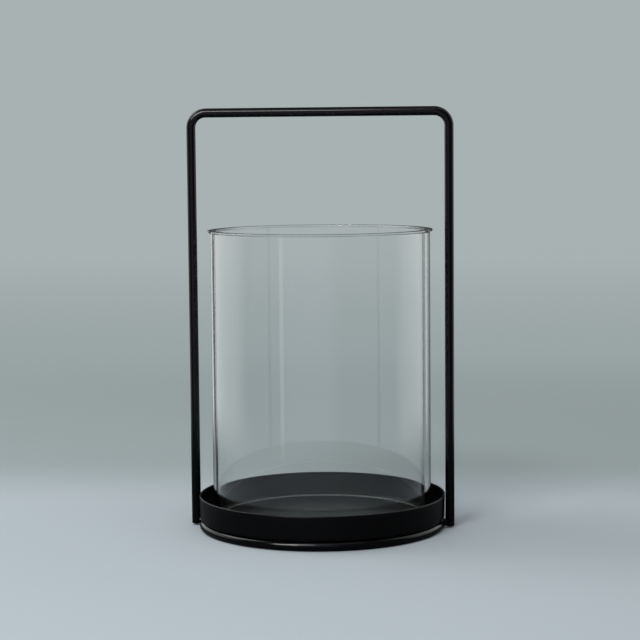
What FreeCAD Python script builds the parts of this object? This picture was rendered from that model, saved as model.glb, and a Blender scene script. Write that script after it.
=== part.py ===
import FreeCAD, Part
import math
import os

# Hurricane candle lantern: a carrying frame of bent round bar, a drawn steel tray that drops
# into it and a clear glass cylinder that stands in the tray. Millimetres, +Z up, with the
# origin on the table under the middle of the base ring and the handle across X.

# Driving dimensions: glass cylinder
glass_diameter = 152.4        # outside of the plain wall
glass_wall = 3.4
glass_height = 201.0
glass_lip = 1.8               # how far the fire-polished rim stands out from the wall
glass_lip_thickness = 1.3     # height of the lip at its edge
glass_lip_blend = 1.0         # hollow under the lip
glass_mouth_round = 1.2       # inside edge of the rim
glass_edge_round = 0.9        # ground lower edge

# Driving dimensions: candle tray
tray_floor_margin = 7.5       # glass to the start of the floor's corner
tray_height = 17.2            # underside to rim
tray_sheet = 1.2              # thickness of the sheet steel
tray_corner = 0.8             # inside radius between floor and wall
tray_draft = 1.5              # outward lean of the wall, in degrees
tray_seat_clearance = 0.1     # tray to the base ring that carries it
tray_leg_clearance = 0.3      # tray rim to each leg of the handle

# Driving dimensions: carrying frame
rod_diameter = 6.35           # round bar of the handle and the base ring
hand_room = 77.8              # glass rim to the underside of the handle's bar
handle_bend = 7.0             # inside radius of the handle's two corners
leg_end_height = 1.0          # cut ends of the legs above the table
leg_end_chamfer = 0.5
weld_root_gap = 0.1           # leg to base ring, filled by the weld
weld_diameter = 5.6           # across each weld

# Tray section, measured from the axis and from the tray's own underside
rod_radius = rod_diameter / 2
glass_radius = glass_diameter / 2
draft = math.radians(tray_draft)
wall_up = FreeCAD.Vector(math.sin(draft), 0, math.cos(draft))
wall_out = FreeCAD.Vector(math.cos(draft), 0, -math.sin(draft))
tray_outer_corner = tray_corner + tray_sheet
corner_radius_at = glass_radius + tray_floor_margin
corner_centre = FreeCAD.Vector(corner_radius_at, 0, tray_outer_corner)
wall_foot = corner_centre + wall_out * (tray_corner + tray_sheet / 2)
wall_rise = (tray_height - tray_sheet / 2 - wall_foot.z) / math.cos(draft)
rim_centre = wall_foot + wall_up * wall_rise
tray_rim_radius = rim_centre.x + tray_sheet / 2

# Places that follow from the fits
leg_x = tray_rim_radius + tray_leg_clearance + rod_radius
ring_radius = leg_x - rod_diameter - weld_root_gap
seat_reach = rod_radius + tray_outer_corner + tray_seat_clearance
seat_offset = max(0.0, ring_radius - corner_radius_at)
tray_bottom = rod_radius + math.sqrt(seat_reach ** 2 - seat_offset ** 2) - tray_outer_corner
floor_z = tray_bottom + tray_sheet
glass_top = floor_z + glass_height
bar_z = glass_top + hand_room + rod_radius

AXIS_POINT = FreeCAD.Vector(0, 0, 0)
UP = FreeCAD.Vector(0, 0, 1)


def point(radius, height):
    """A point of a section, in the XZ plane."""
    return FreeCAD.Vector(radius, 0, height)


def around(centre, radius, degrees):
    """A point on a circle of a section, counted from +X towards +Z."""
    angle = math.radians(degrees)
    return centre + point(math.cos(angle), math.sin(angle)) * radius


def line(start, end):
    return Part.LineSegment(start, end).toShape()


def arc(start, middle, end):
    return Part.Arc(start, middle, end).toShape()


def quarter(centre, radius, start, end):
    """The round between two directions of a section, in degrees."""
    middle = around(centre, radius, (start + end) / 2)
    return arc(around(centre, radius, start), middle, around(centre, radius, end))


def turned(edges):
    """The solid that a closed section makes when it is turned about the Z axis."""
    return Part.Face(Part.Wire(edges)).revolve(AXIS_POINT, UP, 360)


def bent_rod(edges):
    """A round bar along a path that starts straight up."""
    path = Part.Wire(edges)
    start = path.OrderedVertexes[0].Point
    section = Part.Wire(Part.makeCircle(rod_radius, start, UP))
    return path.makePipeShell([section], True, False)


def make_handle():
    """One bar bent into a square arch, with its two cut ends broken by a chamfer."""
    bend = handle_bend + rod_radius
    edges = []
    corners = []
    for side in (-1, 1):
        centre = point(side * (leg_x - bend), bar_z - bend)
        leg_top = point(side * leg_x, centre.z)
        bar_end = point(centre.x, bar_z)
        corners.append((leg_top, around(centre, bend, 90 - side * 45), bar_end))
    (left_top, left_mid, left_bar), (right_top, right_mid, right_bar) = corners
    edges.append(line(point(-leg_x, leg_end_height), left_top))
    edges.append(arc(left_top, left_mid, left_bar))
    edges.append(line(left_bar, right_bar))
    edges.append(arc(right_bar, right_mid, right_top))
    edges.append(line(right_top, point(leg_x, leg_end_height)))
    rod = bent_rod(edges)
    half_chamfer = leg_end_chamfer / 2
    ends = [edge for edge in rod.Edges if edge.BoundBox.ZMax < leg_end_height + half_chamfer]
    return rod.makeChamfer(leg_end_chamfer, ends)


def make_base_ring():
    """The same bar closed into a ring that lies on the table."""
    return Part.makeTorus(ring_radius, rod_radius, point(0, rod_radius), UP)


def make_leg_welds(handle, base_ring):
    """The two welds that fill the grooves where the legs cross the ring."""
    welds = []
    for side in (-1, 1):
        touch = point(side * (leg_x - rod_radius - weld_root_gap / 2), rod_radius)
        bead = Part.makeSphere(weld_diameter / 2, touch)
        under = Part.makeBox(weld_diameter, weld_diameter, weld_diameter)
        under.translate(touch - FreeCAD.Vector(1, 1, 0) * (weld_diameter / 2))
        under.translate(UP * (leg_end_height + leg_end_chamfer - rod_radius - weld_diameter))
        welds.append(bead.cut([handle, base_ring, under]))
    return Part.makeCompound(welds)


def make_candle_tray():
    """A drawn tray: flat floor, rounded corner, a wall that leans out and a rounded rim."""
    lift = UP * tray_bottom
    corner = corner_centre + lift
    rim = rim_centre + lift
    half_sheet = tray_sheet / 2
    under_centre = point(0, tray_bottom)
    under_edge = point(corner.x, tray_bottom)
    floor_centre = point(0, floor_z)
    floor_edge = point(corner.x, floor_z)
    outer_foot = corner + wall_out * tray_outer_corner
    inner_foot = corner + wall_out * tray_corner
    outer_rim = rim + wall_out * half_sheet
    inner_rim = rim - wall_out * half_sheet
    return turned([
        line(under_centre, under_edge),
        quarter(corner, tray_outer_corner, -90, -tray_draft),
        line(outer_foot, outer_rim),
        arc(outer_rim, rim + wall_up * half_sheet, inner_rim),
        line(inner_rim, inner_foot),
        quarter(corner, tray_corner, -tray_draft, -90),
        line(floor_edge, floor_centre),
        line(floor_centre, under_centre),
    ])


def make_glass_cylinder():
    """An open tube with a ground lower edge and a thin, fire-polished lip round its mouth."""
    inner_radius = glass_radius - glass_wall
    edge = min(glass_edge_round, 0.4 * glass_wall)
    mouth = min(glass_mouth_round, 0.5 * glass_wall)
    lip_end = glass_lip_thickness / 2
    blend = min(glass_lip_blend, 0.9 * (glass_lip - lip_end))
    lip_under = glass_top - glass_lip_thickness
    lip_centre = point(glass_radius + glass_lip - lip_end, glass_top - lip_end)
    blend_centre = point(glass_radius + blend, lip_under - blend)
    mouth_centre = point(inner_radius + mouth, glass_top - mouth)
    outer_edge = point(glass_radius - edge, floor_z + edge)
    inner_edge = point(inner_radius + edge, floor_z + edge)
    return turned([
        line(around(inner_edge, edge, -90), around(outer_edge, edge, -90)),
        quarter(outer_edge, edge, -90, 0),
        line(around(outer_edge, edge, 0), around(blend_centre, blend, 180)),
        quarter(blend_centre, blend, 180, 90),
        line(around(blend_centre, blend, 90), around(lip_centre, lip_end, -90)),
        quarter(lip_centre, lip_end, -90, 0),
        quarter(lip_centre, lip_end, 0, 90),
        line(around(lip_centre, lip_end, 90), around(mouth_centre, mouth, 90)),
        quarter(mouth_centre, mouth, 90, 180),
        line(around(mouth_centre, mouth, 180), around(inner_edge, edge, 180)),
        quarter(inner_edge, edge, 180, 270),
    ])


handle = make_handle()
base_ring = make_base_ring()
nodes = {
    "handle": handle,
    "base_ring": base_ring,
    "leg_welds": make_leg_welds(handle, base_ring),
    "candle_tray": make_candle_tray(),
    "glass_cylinder": make_glass_cylinder(),
}

os.makedirs("parts", exist_ok=True)
for name, shape in nodes.items():
    shape.exportStep(os.path.join("parts", name + ".step"))
    box = shape.optimalBoundingBox()
    print(name, "solids", len(shape.Solids), "valid", shape.isValid(),
          "volume", round(shape.Volume, 1),
          "x", round(box.XMin, 2), round(box.XMax, 2),
          "y", round(box.YMin, 2), round(box.YMax, 2),
          "z", round(box.ZMin, 2), round(box.ZMax, 2))
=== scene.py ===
"""Looks of a hurricane candle lantern: black coated steel frame and tray, clear glass cylinder."""

import math

import bmesh
import bpy
from mathutils import Matrix, Vector


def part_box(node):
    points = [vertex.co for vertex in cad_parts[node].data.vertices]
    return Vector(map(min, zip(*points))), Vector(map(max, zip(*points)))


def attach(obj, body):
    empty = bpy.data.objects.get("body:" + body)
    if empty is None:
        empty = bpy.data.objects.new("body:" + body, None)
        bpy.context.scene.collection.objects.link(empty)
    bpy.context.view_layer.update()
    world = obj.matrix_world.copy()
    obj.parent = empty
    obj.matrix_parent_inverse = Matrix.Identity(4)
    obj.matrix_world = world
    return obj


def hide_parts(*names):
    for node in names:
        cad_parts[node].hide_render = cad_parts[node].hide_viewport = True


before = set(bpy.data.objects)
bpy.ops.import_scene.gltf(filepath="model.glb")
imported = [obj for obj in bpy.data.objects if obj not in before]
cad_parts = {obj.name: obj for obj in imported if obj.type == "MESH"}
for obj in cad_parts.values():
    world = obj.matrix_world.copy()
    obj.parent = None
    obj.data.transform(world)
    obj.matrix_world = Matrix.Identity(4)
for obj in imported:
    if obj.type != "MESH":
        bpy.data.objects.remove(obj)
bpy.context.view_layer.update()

bl_info = {
    "name": "Hurricane candle lantern",
    "version": (1, 0, 0),
    "blender": (4, 5, 0),
    "location": "View3D > Sidebar > Lantern",
    "description": "Dresses the lantern's frame, tray and glass and sets its studio stage",
    "category": "Object",
}

MM = 0.001
TRAY_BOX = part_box("candle_tray")
GLASS_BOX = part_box("glass_cylinder")
TRAY_SEGMENTS = 288
GLASS_SEGMENTS = 256
NEARLY_HALF = 0.49          # two such rounds leave a sliver of flat between them
PLAIN = (0, 0)              # a point of an outline that has no round

WHITE = "#FFFFFF"
SMOOTH = {"interpolation_type": "SMOOTHSTEP"}
IMAGE_SIDE = 640            # pixels
SENSOR = 36.0               # millimetres
FLOOR_RADIUS = 12.0         # metres, as are the lengths below
LAMP_TARGET = Vector((0, 0, 0.15))
CARD_RADIUS = 0.30          # from the lantern's axis
CARD_HEIGHT = 1.0
CARD_FOOT = 0.06            # height over which a card fades in from the floor
CARD_CORE = 0.4             # share of a card's half width that is at its full level
CARD_STEPS = 16


def linear(hex_colour):
    """An sRGB hex colour as linear red, green, blue and alpha."""
    channels = [int(hex_colour[i:i + 2], 16) / 255 for i in (1, 3, 5)]
    return (*[c / 12.92 if c <= 0.04045 else ((c + 0.055) / 1.055) ** 2.4 for c in channels], 1.0)


def colour(name, description, hex_colour):
    return bpy.props.FloatVectorProperty(
        name=name, description=description, subtype="COLOR", size=4, min=0, max=1,
        default=linear(hex_colour))


def length(name, description, millimetres):
    return bpy.props.FloatProperty(
        name=name, description=description, unit="LENGTH", default=millimetres * MM)


def amount(name, description, value):
    return bpy.props.FloatProperty(name=name, description=description, default=value)


def angle(name, description, degrees):
    return bpy.props.FloatProperty(
        name=name, description=description, subtype="ANGLE", default=math.radians(degrees))


class LanternCoat(bpy.types.PropertyGroup):
    """Black powder coat on the frame and the tray"""
    frame_black: colour("Frame black", "Coat on the handle, the ring and the welds", "#070708")
    tray_black: colour("Tray black", "Coat on the tray", "#070708")
    frame_roughness: amount("Frame roughness", "Mean roughness of the frame's coat", 0.14)
    tray_roughness: amount("Tray roughness", "Mean roughness of the tray's coat", 0.30)
    frame_reflectance: amount("Frame reflectance", "Specular level of the frame's coat", 0.20)
    tray_reflectance: amount("Tray reflectance", "Specular level of the tray's coat", 0.15)
    unevenness: amount("Unevenness", "How far the roughness strays from its mean", 0.04)
    cloud: length("Cloud", "Width of the patches of uneven gloss", 18.0)
    peel: length("Orange peel", "Width of the coat's fine ripples", 1.6)
    peel_depth: length("Peel depth", "Height of the ripples", 0.02)
    peel_strength: amount("Peel strength", "How much the ripples turn the light", 0.02)


class LanternTray(bpy.types.PropertyGroup):
    """Drawn steel tray"""
    sheet: length("Sheet", "Thickness of the steel", 1.2)
    corner: length("Corner", "Inside radius between floor and wall", 0.8)
    draft: angle("Draft", "Outward lean of the wall", 1.5)


class LanternGlass(bpy.types.PropertyGroup):
    """Clear glass cylinder"""
    wall: length("Wall", "Thickness of the glass", 3.4)
    lip: length("Lip", "How far the rim stands out from the wall", 1.8)
    lip_thickness: length("Lip thickness", "Height of the lip at its edge", 1.3)
    lip_round: length("Lip round", "Rounding of the lip's edge", 0.325)
    lip_blend: length("Lip blend", "Hollow under the lip", 1.0)
    mouth: length("Mouth", "Rounding inside the rim", 0.5)
    edge: length("Lower edge", "Rounding of the ground lower edge", 0.9)
    frost: amount("Frost", "Roughness of the ground lower edge", 0.5)
    frost_clearness: amount("Frost clearness", "Share of light that the ground edge lets in", 0.7)
    ior: amount("IOR", "Refractive index of soda-lime glass", 1.51)
    tint: colour("Tint", "Colour that long paths in the glass take on", "#D5DEDC")
    density: amount("Density", "How strongly the glass takes up light, per metre", 23.0)
    wave: length("Wave", "Width of the faint upright waves of a drawn tube", 22.0)
    wave_stretch: amount("Wave stretch", "Width of a wave beside its height", 0.06)
    wave_depth: length("Wave depth", "Height of the waves", 0.12)
    wave_strength: amount("Wave strength", "How much the waves turn the light", 0.25)


class LanternStage(bpy.types.PropertyGroup):
    """Floor, backdrop, lights and camera"""
    floor_near: colour("Floor near", "Floor under the lantern", "#ACB6BC")
    # Painted shade: the floor behind the lantern turns darker than the board under it
    shaded_floor_back: colour("Floor behind", "Floor just behind the lantern", "#98A3A4")
    floor_far: colour("Floor far", "Far floor and backdrop", "#A9B2B2")
    back_start: length("Back start", "Where the floor starts to turn grey", 70)
    back_end: length("Back end", "Where the floor is grey", 260)
    far_start: length("Far start", "Where the floor starts to turn to the backdrop's tone", 500)
    far_end: length("Far end", "Where the floor has the backdrop's tone", 3500)
    glow_start: length("Glow start", "Where lamps and shadows start to fade on the floor", 300)
    glow_end: length("Glow end", "Where the floor shows its own tone alone", 1200)
    room: amount("Room", "Even light from all round on matt surfaces", 0.55)
    mirrored: amount("Mirrored level", "Brightness of the surroundings in reflections", 0.2)
    distance: length("Camera distance", "From the lantern's axis, level", 1292.9)
    height: length("Camera height", "Above the table", 267.9)
    azimuth: angle("Camera azimuth", "Turn round the lantern, from the front", 5.67)
    heading: angle("Camera heading", "Turn to the left from the lantern's axis", 0.022)
    tilt: angle("Camera tilt", "Downwards", 5.41)
    roll: angle("Camera roll", "About the line of sight", -0.51)
    focal_pixels: amount("Focal length", "In pixels of the square image", 1864.0)


def add_node(tree, kind, settings=None, **sockets):
    """A shader node with its settings. A socket is given by its name, or by _ and its number, and
    takes a value, or an output to link."""
    made = tree.nodes.new(kind)
    for key, value in (settings or {}).items():
        setattr(made, key, value)
    for key, value in sockets.items():
        number = key[1:]
        socket = made.inputs[int(number) if number.isdigit() else key.replace("_", " ")]
        if isinstance(value, bpy.types.NodeSocket):
            tree.links.new(value, socket)
        else:
            socket.default_value = value
    return made


def new_material(name):
    """A material with an empty node tree and its output."""
    material = bpy.data.materials.new(name)
    material.use_nodes = True
    material.node_tree.nodes.clear()
    output = material.node_tree.nodes.new("ShaderNodeOutputMaterial")
    return material, material.node_tree, output


def powder_coat(name, black, roughness, reflectance, coat):
    """Satin polyester powder coat, sprayed and baked on steel: a deep black with a soft broad
    highlight, faint orange peel and slightly uneven gloss."""
    material, tree, output = new_material(name)
    place = add_node(tree, "ShaderNodeTexCoord").outputs["Object"]
    cloud = add_node(tree, "ShaderNodeTexNoise", Vector=place, Scale=1 / coat.cloud, Detail=3.0)
    gloss = add_node(tree, "ShaderNodeMapRange", Value=cloud.outputs["Fac"],
                     _3=roughness - coat.unevenness, _4=roughness + coat.unevenness)
    ripple = add_node(tree, "ShaderNodeTexNoise", Vector=place, Scale=1 / coat.peel, Detail=2.0)
    bump = add_node(tree, "ShaderNodeBump", Strength=coat.peel_strength, Distance=coat.peel_depth,
                    Height=ripple.outputs["Fac"])
    shader = add_node(tree, "ShaderNodeBsdfPrincipled", Base_Color=black,
                      Specular_IOR_Level=reflectance, Roughness=gloss.outputs["Result"],
                      Normal=bump.outputs["Normal"])
    tree.links.new(shader.outputs[0], output.inputs["Surface"])
    return material


def drawn_glass(settings, bottom):
    """Clear soda-lime glass drawn into a tube and fire-polished: sharp reflections, faint upright
    waves, a ground lower edge, and a wall that darkens where light runs a long way inside it."""
    material, tree, output = new_material("clear_drawn_glass")
    place = add_node(tree, "ShaderNodeTexCoord").outputs["Object"]
    stretch = add_node(tree, "ShaderNodeMapping", Vector=place,
                       Scale=(1.0, 1.0, settings.wave_stretch))
    waves = add_node(tree, "ShaderNodeTexNoise", Vector=stretch.outputs[0],
                     Scale=1 / settings.wave, Detail=1.0)
    bump = add_node(tree, "ShaderNodeBump", Strength=settings.wave_strength,
                    Distance=settings.wave_depth, Height=waves.outputs["Fac"])
    height = add_node(tree, "ShaderNodeSeparateXYZ", Vector=place).outputs["Z"]
    ground = add_node(tree, "ShaderNodeMapRange", Value=height, _1=bottom + 0.7 * settings.edge,
                      _2=bottom + 1.1 * settings.edge, _3=settings.frost, _4=0.0)
    clear = add_node(tree, "ShaderNodeMapRange", Value=ground.outputs["Result"],
                     _2=settings.frost, _3=1.0, _4=settings.frost_clearness)
    shader = add_node(tree, "ShaderNodeBsdfPrincipled", Base_Color=linear(WHITE),
                      Roughness=ground.outputs["Result"], IOR=settings.ior,
                      Transmission_Weight=clear.outputs["Result"], Normal=bump.outputs["Normal"])
    inside = add_node(tree, "ShaderNodeVolumeAbsorption", Color=settings.tint,
                      Density=settings.density)
    tree.links.new(shader.outputs[0], output.inputs["Surface"])
    tree.links.new(inside.outputs[0], output.inputs["Volume"])
    return material


def finish_piece(bm, name, material):
    """A mesh object with smooth shading, at the origin."""
    mesh = bpy.data.meshes.new(name)
    bm.to_mesh(mesh)
    bm.free()
    mesh.shade_smooth()
    piece = bpy.data.objects.new(name, mesh)
    bpy.context.scene.collection.objects.link(piece)
    piece.data.materials.append(material)
    return piece


def turned(outline, segments):
    """A closed outline turned about the Z axis; each corner has its round and the steps in it."""
    bm = bmesh.new()
    corners = [bm.verts.new((radius, 0, height)) for radius, height in outline]
    bm.faces.new(corners)
    for corner, (radius, steps) in zip(corners, outline.values()):
        if radius:
            bmesh.ops.bevel(bm, geom=[corner], offset=radius, offset_type="OFFSET",
                            affect="VERTICES", segments=steps, profile=0.5, material=-1)
    bmesh.ops.delete(bm, geom=bm.faces[:], context="FACES_ONLY")
    bmesh.ops.spin(bm, geom=bm.verts[:] + bm.edges[:], cent=(0, 0, 0), axis=(0, 0, 1),
                   angle=math.tau, steps=segments, use_merge=True)
    bmesh.ops.remove_doubles(bm, verts=bm.verts[:], dist=0.001 * MM)
    bmesh.ops.recalc_face_normals(bm, faces=bm.faces[:])
    return bm


class LANTERN_OT_frame(bpy.types.Operator):
    """Coats the handle, the base ring and the welds"""
    bl_idname = "lantern.coat_frame"
    bl_label = "Coat the frame"

    def execute(self, context):
        coat = context.scene.lantern_coat
        material = powder_coat("frame_powder_coat", coat.frame_black, coat.frame_roughness,
                               coat.frame_reflectance, coat)
        for name in ("handle", "base_ring", "leg_welds"):
            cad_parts[name].material_slots[0].material = material
        return {"FINISHED"}


class LANTERN_OT_tray(bpy.types.Operator):
    """Turns and coats the tray"""
    bl_idname = "lantern.turn_tray"
    bl_label = "Turn the tray"

    def execute(self, context):
        coat = context.scene.lantern_coat
        settings = context.scene.lantern_tray
        sheet, corner = settings.sheet, settings.corner
        bottom, top = TRAY_BOX[0].z, TRAY_BOX[1].z
        floor = bottom + sheet

        def outer(height):
            return TRAY_BOX[1].x - (top - height) * math.tan(settings.draft)

        def inner(height):
            return outer(height) - sheet / math.cos(settings.draft)

        # Plain points beside the rounds keep the shading of the wall and the floor flat
        low, high = floor + 2 * sheet, top - 2 * sheet
        foot = outer(bottom) - 4 * sheet
        rim_round = (NEARLY_HALF * sheet, 4)
        outline = {
            (0, bottom): PLAIN, (foot, bottom): PLAIN, (outer(bottom), bottom): (corner + sheet, 8),
            (outer(low), low): PLAIN, (outer(high), high): PLAIN, (outer(top), top): rim_round,
            (inner(top), top): rim_round, (inner(high), high): PLAIN, (inner(low), low): PLAIN,
            (inner(floor), floor): (corner, 6), (foot, floor): PLAIN, (0, floor): PLAIN,
        }
        material = powder_coat("tray_powder_coat", coat.tray_black, coat.tray_roughness,
                               coat.tray_reflectance, coat)
        piece = finish_piece(turned(outline, TRAY_SEGMENTS), "tray_dish", material)
        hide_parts("candle_tray")
        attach(piece, "tray")
        return {"FINISHED"}


class LANTERN_OT_glass(bpy.types.Operator):
    """Turns the glass cylinder"""
    bl_idname = "lantern.turn_glass"
    bl_label = "Turn the glass"

    def execute(self, context):
        settings = context.scene.lantern_glass
        bottom, top = GLASS_BOX[0].z, GLASS_BOX[1].z
        lip = GLASS_BOX[1].x
        outer = lip - settings.lip
        inner = outer - settings.wall
        under = top - settings.lip_thickness
        # Plain points beside the rounds keep the wall from bending light like a lens
        low = bottom + 3 * settings.edge
        high = under - 3 * settings.lip_blend
        edge = (settings.edge, 6)
        lip_end = (settings.lip_round, 4)
        outline = {
            (inner, bottom): edge, (outer, bottom): edge, (outer, low): PLAIN, (outer, high): PLAIN,
            (outer, under): (settings.lip_blend, 6), (lip, under): lip_end, (lip, top): lip_end,
            (inner, top): (settings.mouth, 8), (inner, high): PLAIN, (inner, low): PLAIN,
        }
        material = drawn_glass(settings, bottom)
        piece = finish_piece(turned(outline, GLASS_SEGMENTS), "glass_tube", material)
        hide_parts("glass_cylinder")
        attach(piece, "glass")
        return {"FINISHED"}


def seen_level(tree, path, settings):
    """Full brightness for the eye and through the glass, less in reflections."""
    mirror = add_node(tree, "ShaderNodeMath", {"operation": "SUBTRACT"},
                      _0=path.outputs["Is Glossy Ray"], _1=path.outputs["Is Transmission Ray"])
    level = add_node(tree, "ShaderNodeMapRange", Value=mirror.outputs[0],
                     _3=1.0, _4=settings.mirrored)
    return level.outputs["Result"]


def pale_floor(settings):
    """Matt painted board: pale under the lantern, then a greyer band of painted shade behind it,
    and the backdrop's tone far off.
    """
    material, tree, output = new_material("pale_floor")
    place = add_node(tree, "ShaderNodeTexCoord").outputs["Object"]
    depth = add_node(tree, "ShaderNodeSeparateXYZ", Vector=place).outputs["Y"]
    shade = settings.floor_near
    # The first fade brings in the band of painted shade behind the lantern
    for start, end, tone in ((settings.back_start, settings.back_end, settings.shaded_floor_back),
                             (settings.far_start, settings.far_end, settings.floor_far)):
        fade = add_node(tree, "ShaderNodeMapRange", SMOOTH, Value=depth, _1=start, _2=end)
        shade = add_node(tree, "ShaderNodeMix", {"data_type": "RGBA"},
                         Factor=fade.outputs["Result"], _6=shade, _7=tone).outputs[2]
    level = seen_level(tree, add_node(tree, "ShaderNodeLightPath"), settings)
    dimmed = add_node(tree, "ShaderNodeVectorMath", {"operation": "SCALE"}, _0=shade, _3=level)
    board = add_node(tree, "ShaderNodeBsdfDiffuse", Color=dimmed.outputs["Vector"])
    glow = add_node(tree, "ShaderNodeEmission", Color=dimmed.outputs["Vector"], Strength=1.0)
    reach = add_node(tree, "ShaderNodeVectorMath", {"operation": "LENGTH"}, _0=place)
    away = add_node(tree, "ShaderNodeMapRange", SMOOTH, Value=reach.outputs["Value"],
                    _1=settings.glow_start, _2=settings.glow_end)
    blend = add_node(tree, "ShaderNodeMixShader", Fac=away.outputs["Result"],
                     _1=board.outputs[0], _2=glow.outputs[0])
    tree.links.new(blend.outputs[0], output.inputs["Surface"])
    return material


def bearing(azimuth):
    """The level direction at an azimuth: 0 is the front of the lantern, 90 degrees its right."""
    return Vector((math.sin(azimuth), -math.cos(azimuth), 0))


def softbox(name, azimuth, elevation, distance, width, height, power, gloss_only=False):
    """A soft rectangular lamp that faces the lantern, for its light or for its highlights alone."""
    rise = math.radians(elevation)
    way = bearing(math.radians(azimuth)) * math.cos(rise) + Vector((0, 0, math.sin(rise)))
    lamp = bpy.data.lights.new(name, "AREA")
    lamp.shape = "RECTANGLE"
    lamp.size = width
    lamp.size_y = height
    lamp.energy = power
    holder = bpy.data.objects.new(name, lamp)
    holder.location = LAMP_TARGET + way * distance
    holder.rotation_euler = (-way).to_track_quat("-Z", "Y").to_euler()
    holder.visible_camera = False
    # Seen through the glass, a lamp would leave white dots on its rim
    holder.visible_transmission = False
    holder.visible_diffuse = not gloss_only
    bpy.context.scene.collection.objects.link(holder)


def card_glow(name, middle, half, level, tone):
    """Glowing card, painted light in place of a lit pale card: it glows at its middle and fades out
    to its sides and its foot.
    """
    material, tree, output = new_material(name)
    place = add_node(tree, "ShaderNodeTexCoord").outputs["Object"]
    flat = add_node(tree, "ShaderNodeVectorMath", {"operation": "MULTIPLY"}, _0=place, _1=(1, 1, 0))
    way = add_node(tree, "ShaderNodeVectorMath", {"operation": "NORMALIZE"},
                   _0=flat.outputs["Vector"])
    near = add_node(tree, "ShaderNodeVectorMath", {"operation": "DOT_PRODUCT"},
                    _0=way.outputs["Vector"], _1=middle)
    fade = add_node(tree, "ShaderNodeMapRange", SMOOTH, Value=near.outputs["Value"],
                    _1=math.cos(half), _2=math.cos(CARD_CORE * half), _3=0.0, _4=level)
    height = add_node(tree, "ShaderNodeSeparateXYZ", Vector=place).outputs["Z"]
    rise = add_node(tree, "ShaderNodeMapRange", SMOOTH, Value=height, _1=0.0, _2=CARD_FOOT)
    power = add_node(tree, "ShaderNodeMath", {"operation": "MULTIPLY"},
                     _0=fade.outputs["Result"], _1=rise.outputs["Result"])
    glow = add_node(tree, "ShaderNodeEmission", Color=linear(tone), Strength=power.outputs[0])
    clear = add_node(tree, "ShaderNodeBsdfTransparent")
    both = add_node(tree, "ShaderNodeAddShader", _0=glow.outputs[0], _1=clear.outputs[0])
    tree.links.new(both.outputs[0], output.inputs["Surface"])
    material.cycles.emission_sampling = "NONE"
    return material


def glowing_card(name, azimuth, span, level, tone=WHITE):
    """A curved glowing card that stands on the floor and shows in reflections only."""
    turn, half = math.radians(azimuth), math.radians(span / 2)
    bm = bmesh.new()
    foot = bearing(turn - half) * CARD_RADIUS
    side = [bm.verts.new(foot), bm.verts.new(foot + Vector((0, 0, CARD_HEIGHT)))]
    bmesh.ops.spin(bm, geom=side + [bm.edges.new(side)], cent=(0, 0, 0), axis=(0, 0, 1),
                   angle=2 * half, steps=CARD_STEPS)
    card = finish_piece(bm, name, card_glow(name, bearing(turn), half, level, tone))
    for kind in ("camera", "diffuse", "transmission", "shadow"):
        setattr(card, "visible_" + kind, False)


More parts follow.
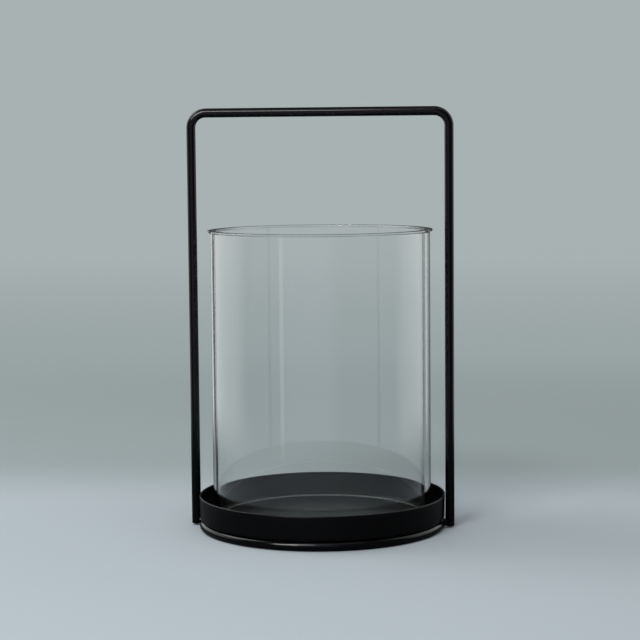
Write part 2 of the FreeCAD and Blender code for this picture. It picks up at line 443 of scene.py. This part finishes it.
class LANTERN_OT_stage(bpy.types.Operator):
    """Sets the floor, the backdrop, the lights and the camera"""
    bl_idname = "lantern.set_stage"
    bl_label = "Set the stage"

    def execute(self, context):
        scene = context.scene
        settings = scene.lantern_stage
        scene.view_settings.view_transform = "Standard"
        self.make_floor(settings)
        self.make_world(scene, settings)
        # Degrees, metres and watts
        softbox("key_softbox", azimuth=-102, elevation=42, distance=1.5, width=0.8, height=0.8,
                power=7.5)
        softbox("top_softbox", azimuth=-18, elevation=42, distance=1.3, width=0.5, height=0.30,
                power=7.0)
        softbox("bend_softbox", azimuth=-31, elevation=29, distance=1.3, width=0.5, height=0.4,
                power=11.0, gloss_only=True)
        softbox("fill_softbox", azimuth=30, elevation=72, distance=1.8, width=1.2, height=1.2,
                power=3.0)
        glowing_card("left_card", azimuth=-109, span=92, level=1.3)
        glowing_card("slot_card", azimuth=-30, span=5, level=1.3)
        glowing_card("front_card", azimuth=-6, span=60, level=0.6, tone="#DDE0F4")
        glowing_card("right_card", azimuth=112, span=72, level=1.3)
        self.make_camera(scene, settings)
        return {"FINISHED"}

    def make_floor(self, settings):
        bm = bmesh.new()
        bmesh.ops.create_circle(bm, cap_ends=True, radius=FLOOR_RADIUS, segments=96)
        floor = finish_piece(bm, "floor", pale_floor(settings))

    def make_world(self, scene, settings):
        """Even white light on matt surfaces, and the backdrop's tone for everything else."""
        world = bpy.data.worlds.new("pale_studio")
        world.use_nodes = True
        tree = world.node_tree
        tree.nodes.clear()
        path = add_node(tree, "ShaderNodeLightPath")
        level = seen_level(tree, path, settings)
        room = add_node(tree, "ShaderNodeBackground", Color=linear(WHITE), Strength=settings.room)
        backdrop = add_node(tree, "ShaderNodeBackground", Color=settings.floor_far, Strength=level)
        blend = add_node(tree, "ShaderNodeMixShader", Fac=path.outputs["Is Diffuse Ray"],
                         _1=backdrop.outputs[0], _2=room.outputs[0])
        output = add_node(tree, "ShaderNodeOutputWorld")
        tree.links.new(blend.outputs[0], output.inputs["Surface"])
        scene.world = world

    def make_camera(self, scene, settings):
        lens = bpy.data.cameras.new("camera")
        lens.sensor_width = SENSOR
        lens.lens = SENSOR * settings.focal_pixels / IMAGE_SIDE
        camera = bpy.data.objects.new("camera", lens)
        camera.matrix_world = (
            Matrix.Rotation(settings.azimuth, 4, "Z")
            @ Matrix.Translation((0, -settings.distance, settings.height))
            @ Matrix.Rotation(settings.heading, 4, "Z")
            @ Matrix.Rotation(math.pi / 2 - settings.tilt, 4, "X")
            @ Matrix.Rotation(settings.roll, 4, "Z"))
        scene.collection.objects.link(camera)
        scene.camera = camera


class LANTERN_PT_panel(bpy.types.Panel):
    """Lists the lantern's operators"""
    bl_idname = "LANTERN_PT_panel"
    bl_label = "Lantern"
    bl_space_type = "VIEW_3D"
    bl_region_type = "UI"
    bl_category = "Lantern"

    def draw(self, context):
        for operator in OPERATORS:
            self.layout.operator(operator.bl_idname)


OPERATORS = (LANTERN_OT_frame, LANTERN_OT_tray, LANTERN_OT_glass, LANTERN_OT_stage)
GROUPS = {
    "lantern_coat": LanternCoat,
    "lantern_tray": LanternTray,
    "lantern_glass": LanternGlass,
    "lantern_stage": LanternStage,
}


def register():
    for made in (*GROUPS.values(), *OPERATORS, LANTERN_PT_panel):
        bpy.utils.register_class(made)
    for name, group in GROUPS.items():
        setattr(bpy.types.Scene, name, bpy.props.PointerProperty(type=group))


def unregister():
    for name in GROUPS:
        delattr(bpy.types.Scene, name)
    for made in (LANTERN_PT_panel, *OPERATORS, *GROUPS.values()):
        bpy.utils.unregister_class(made)


def main():
    register()
    bpy.ops.lantern.coat_frame()
    bpy.ops.lantern.turn_tray()
    bpy.ops.lantern.turn_glass()
    bpy.ops.lantern.set_stage()


if __name__ == "__main__":
    main()
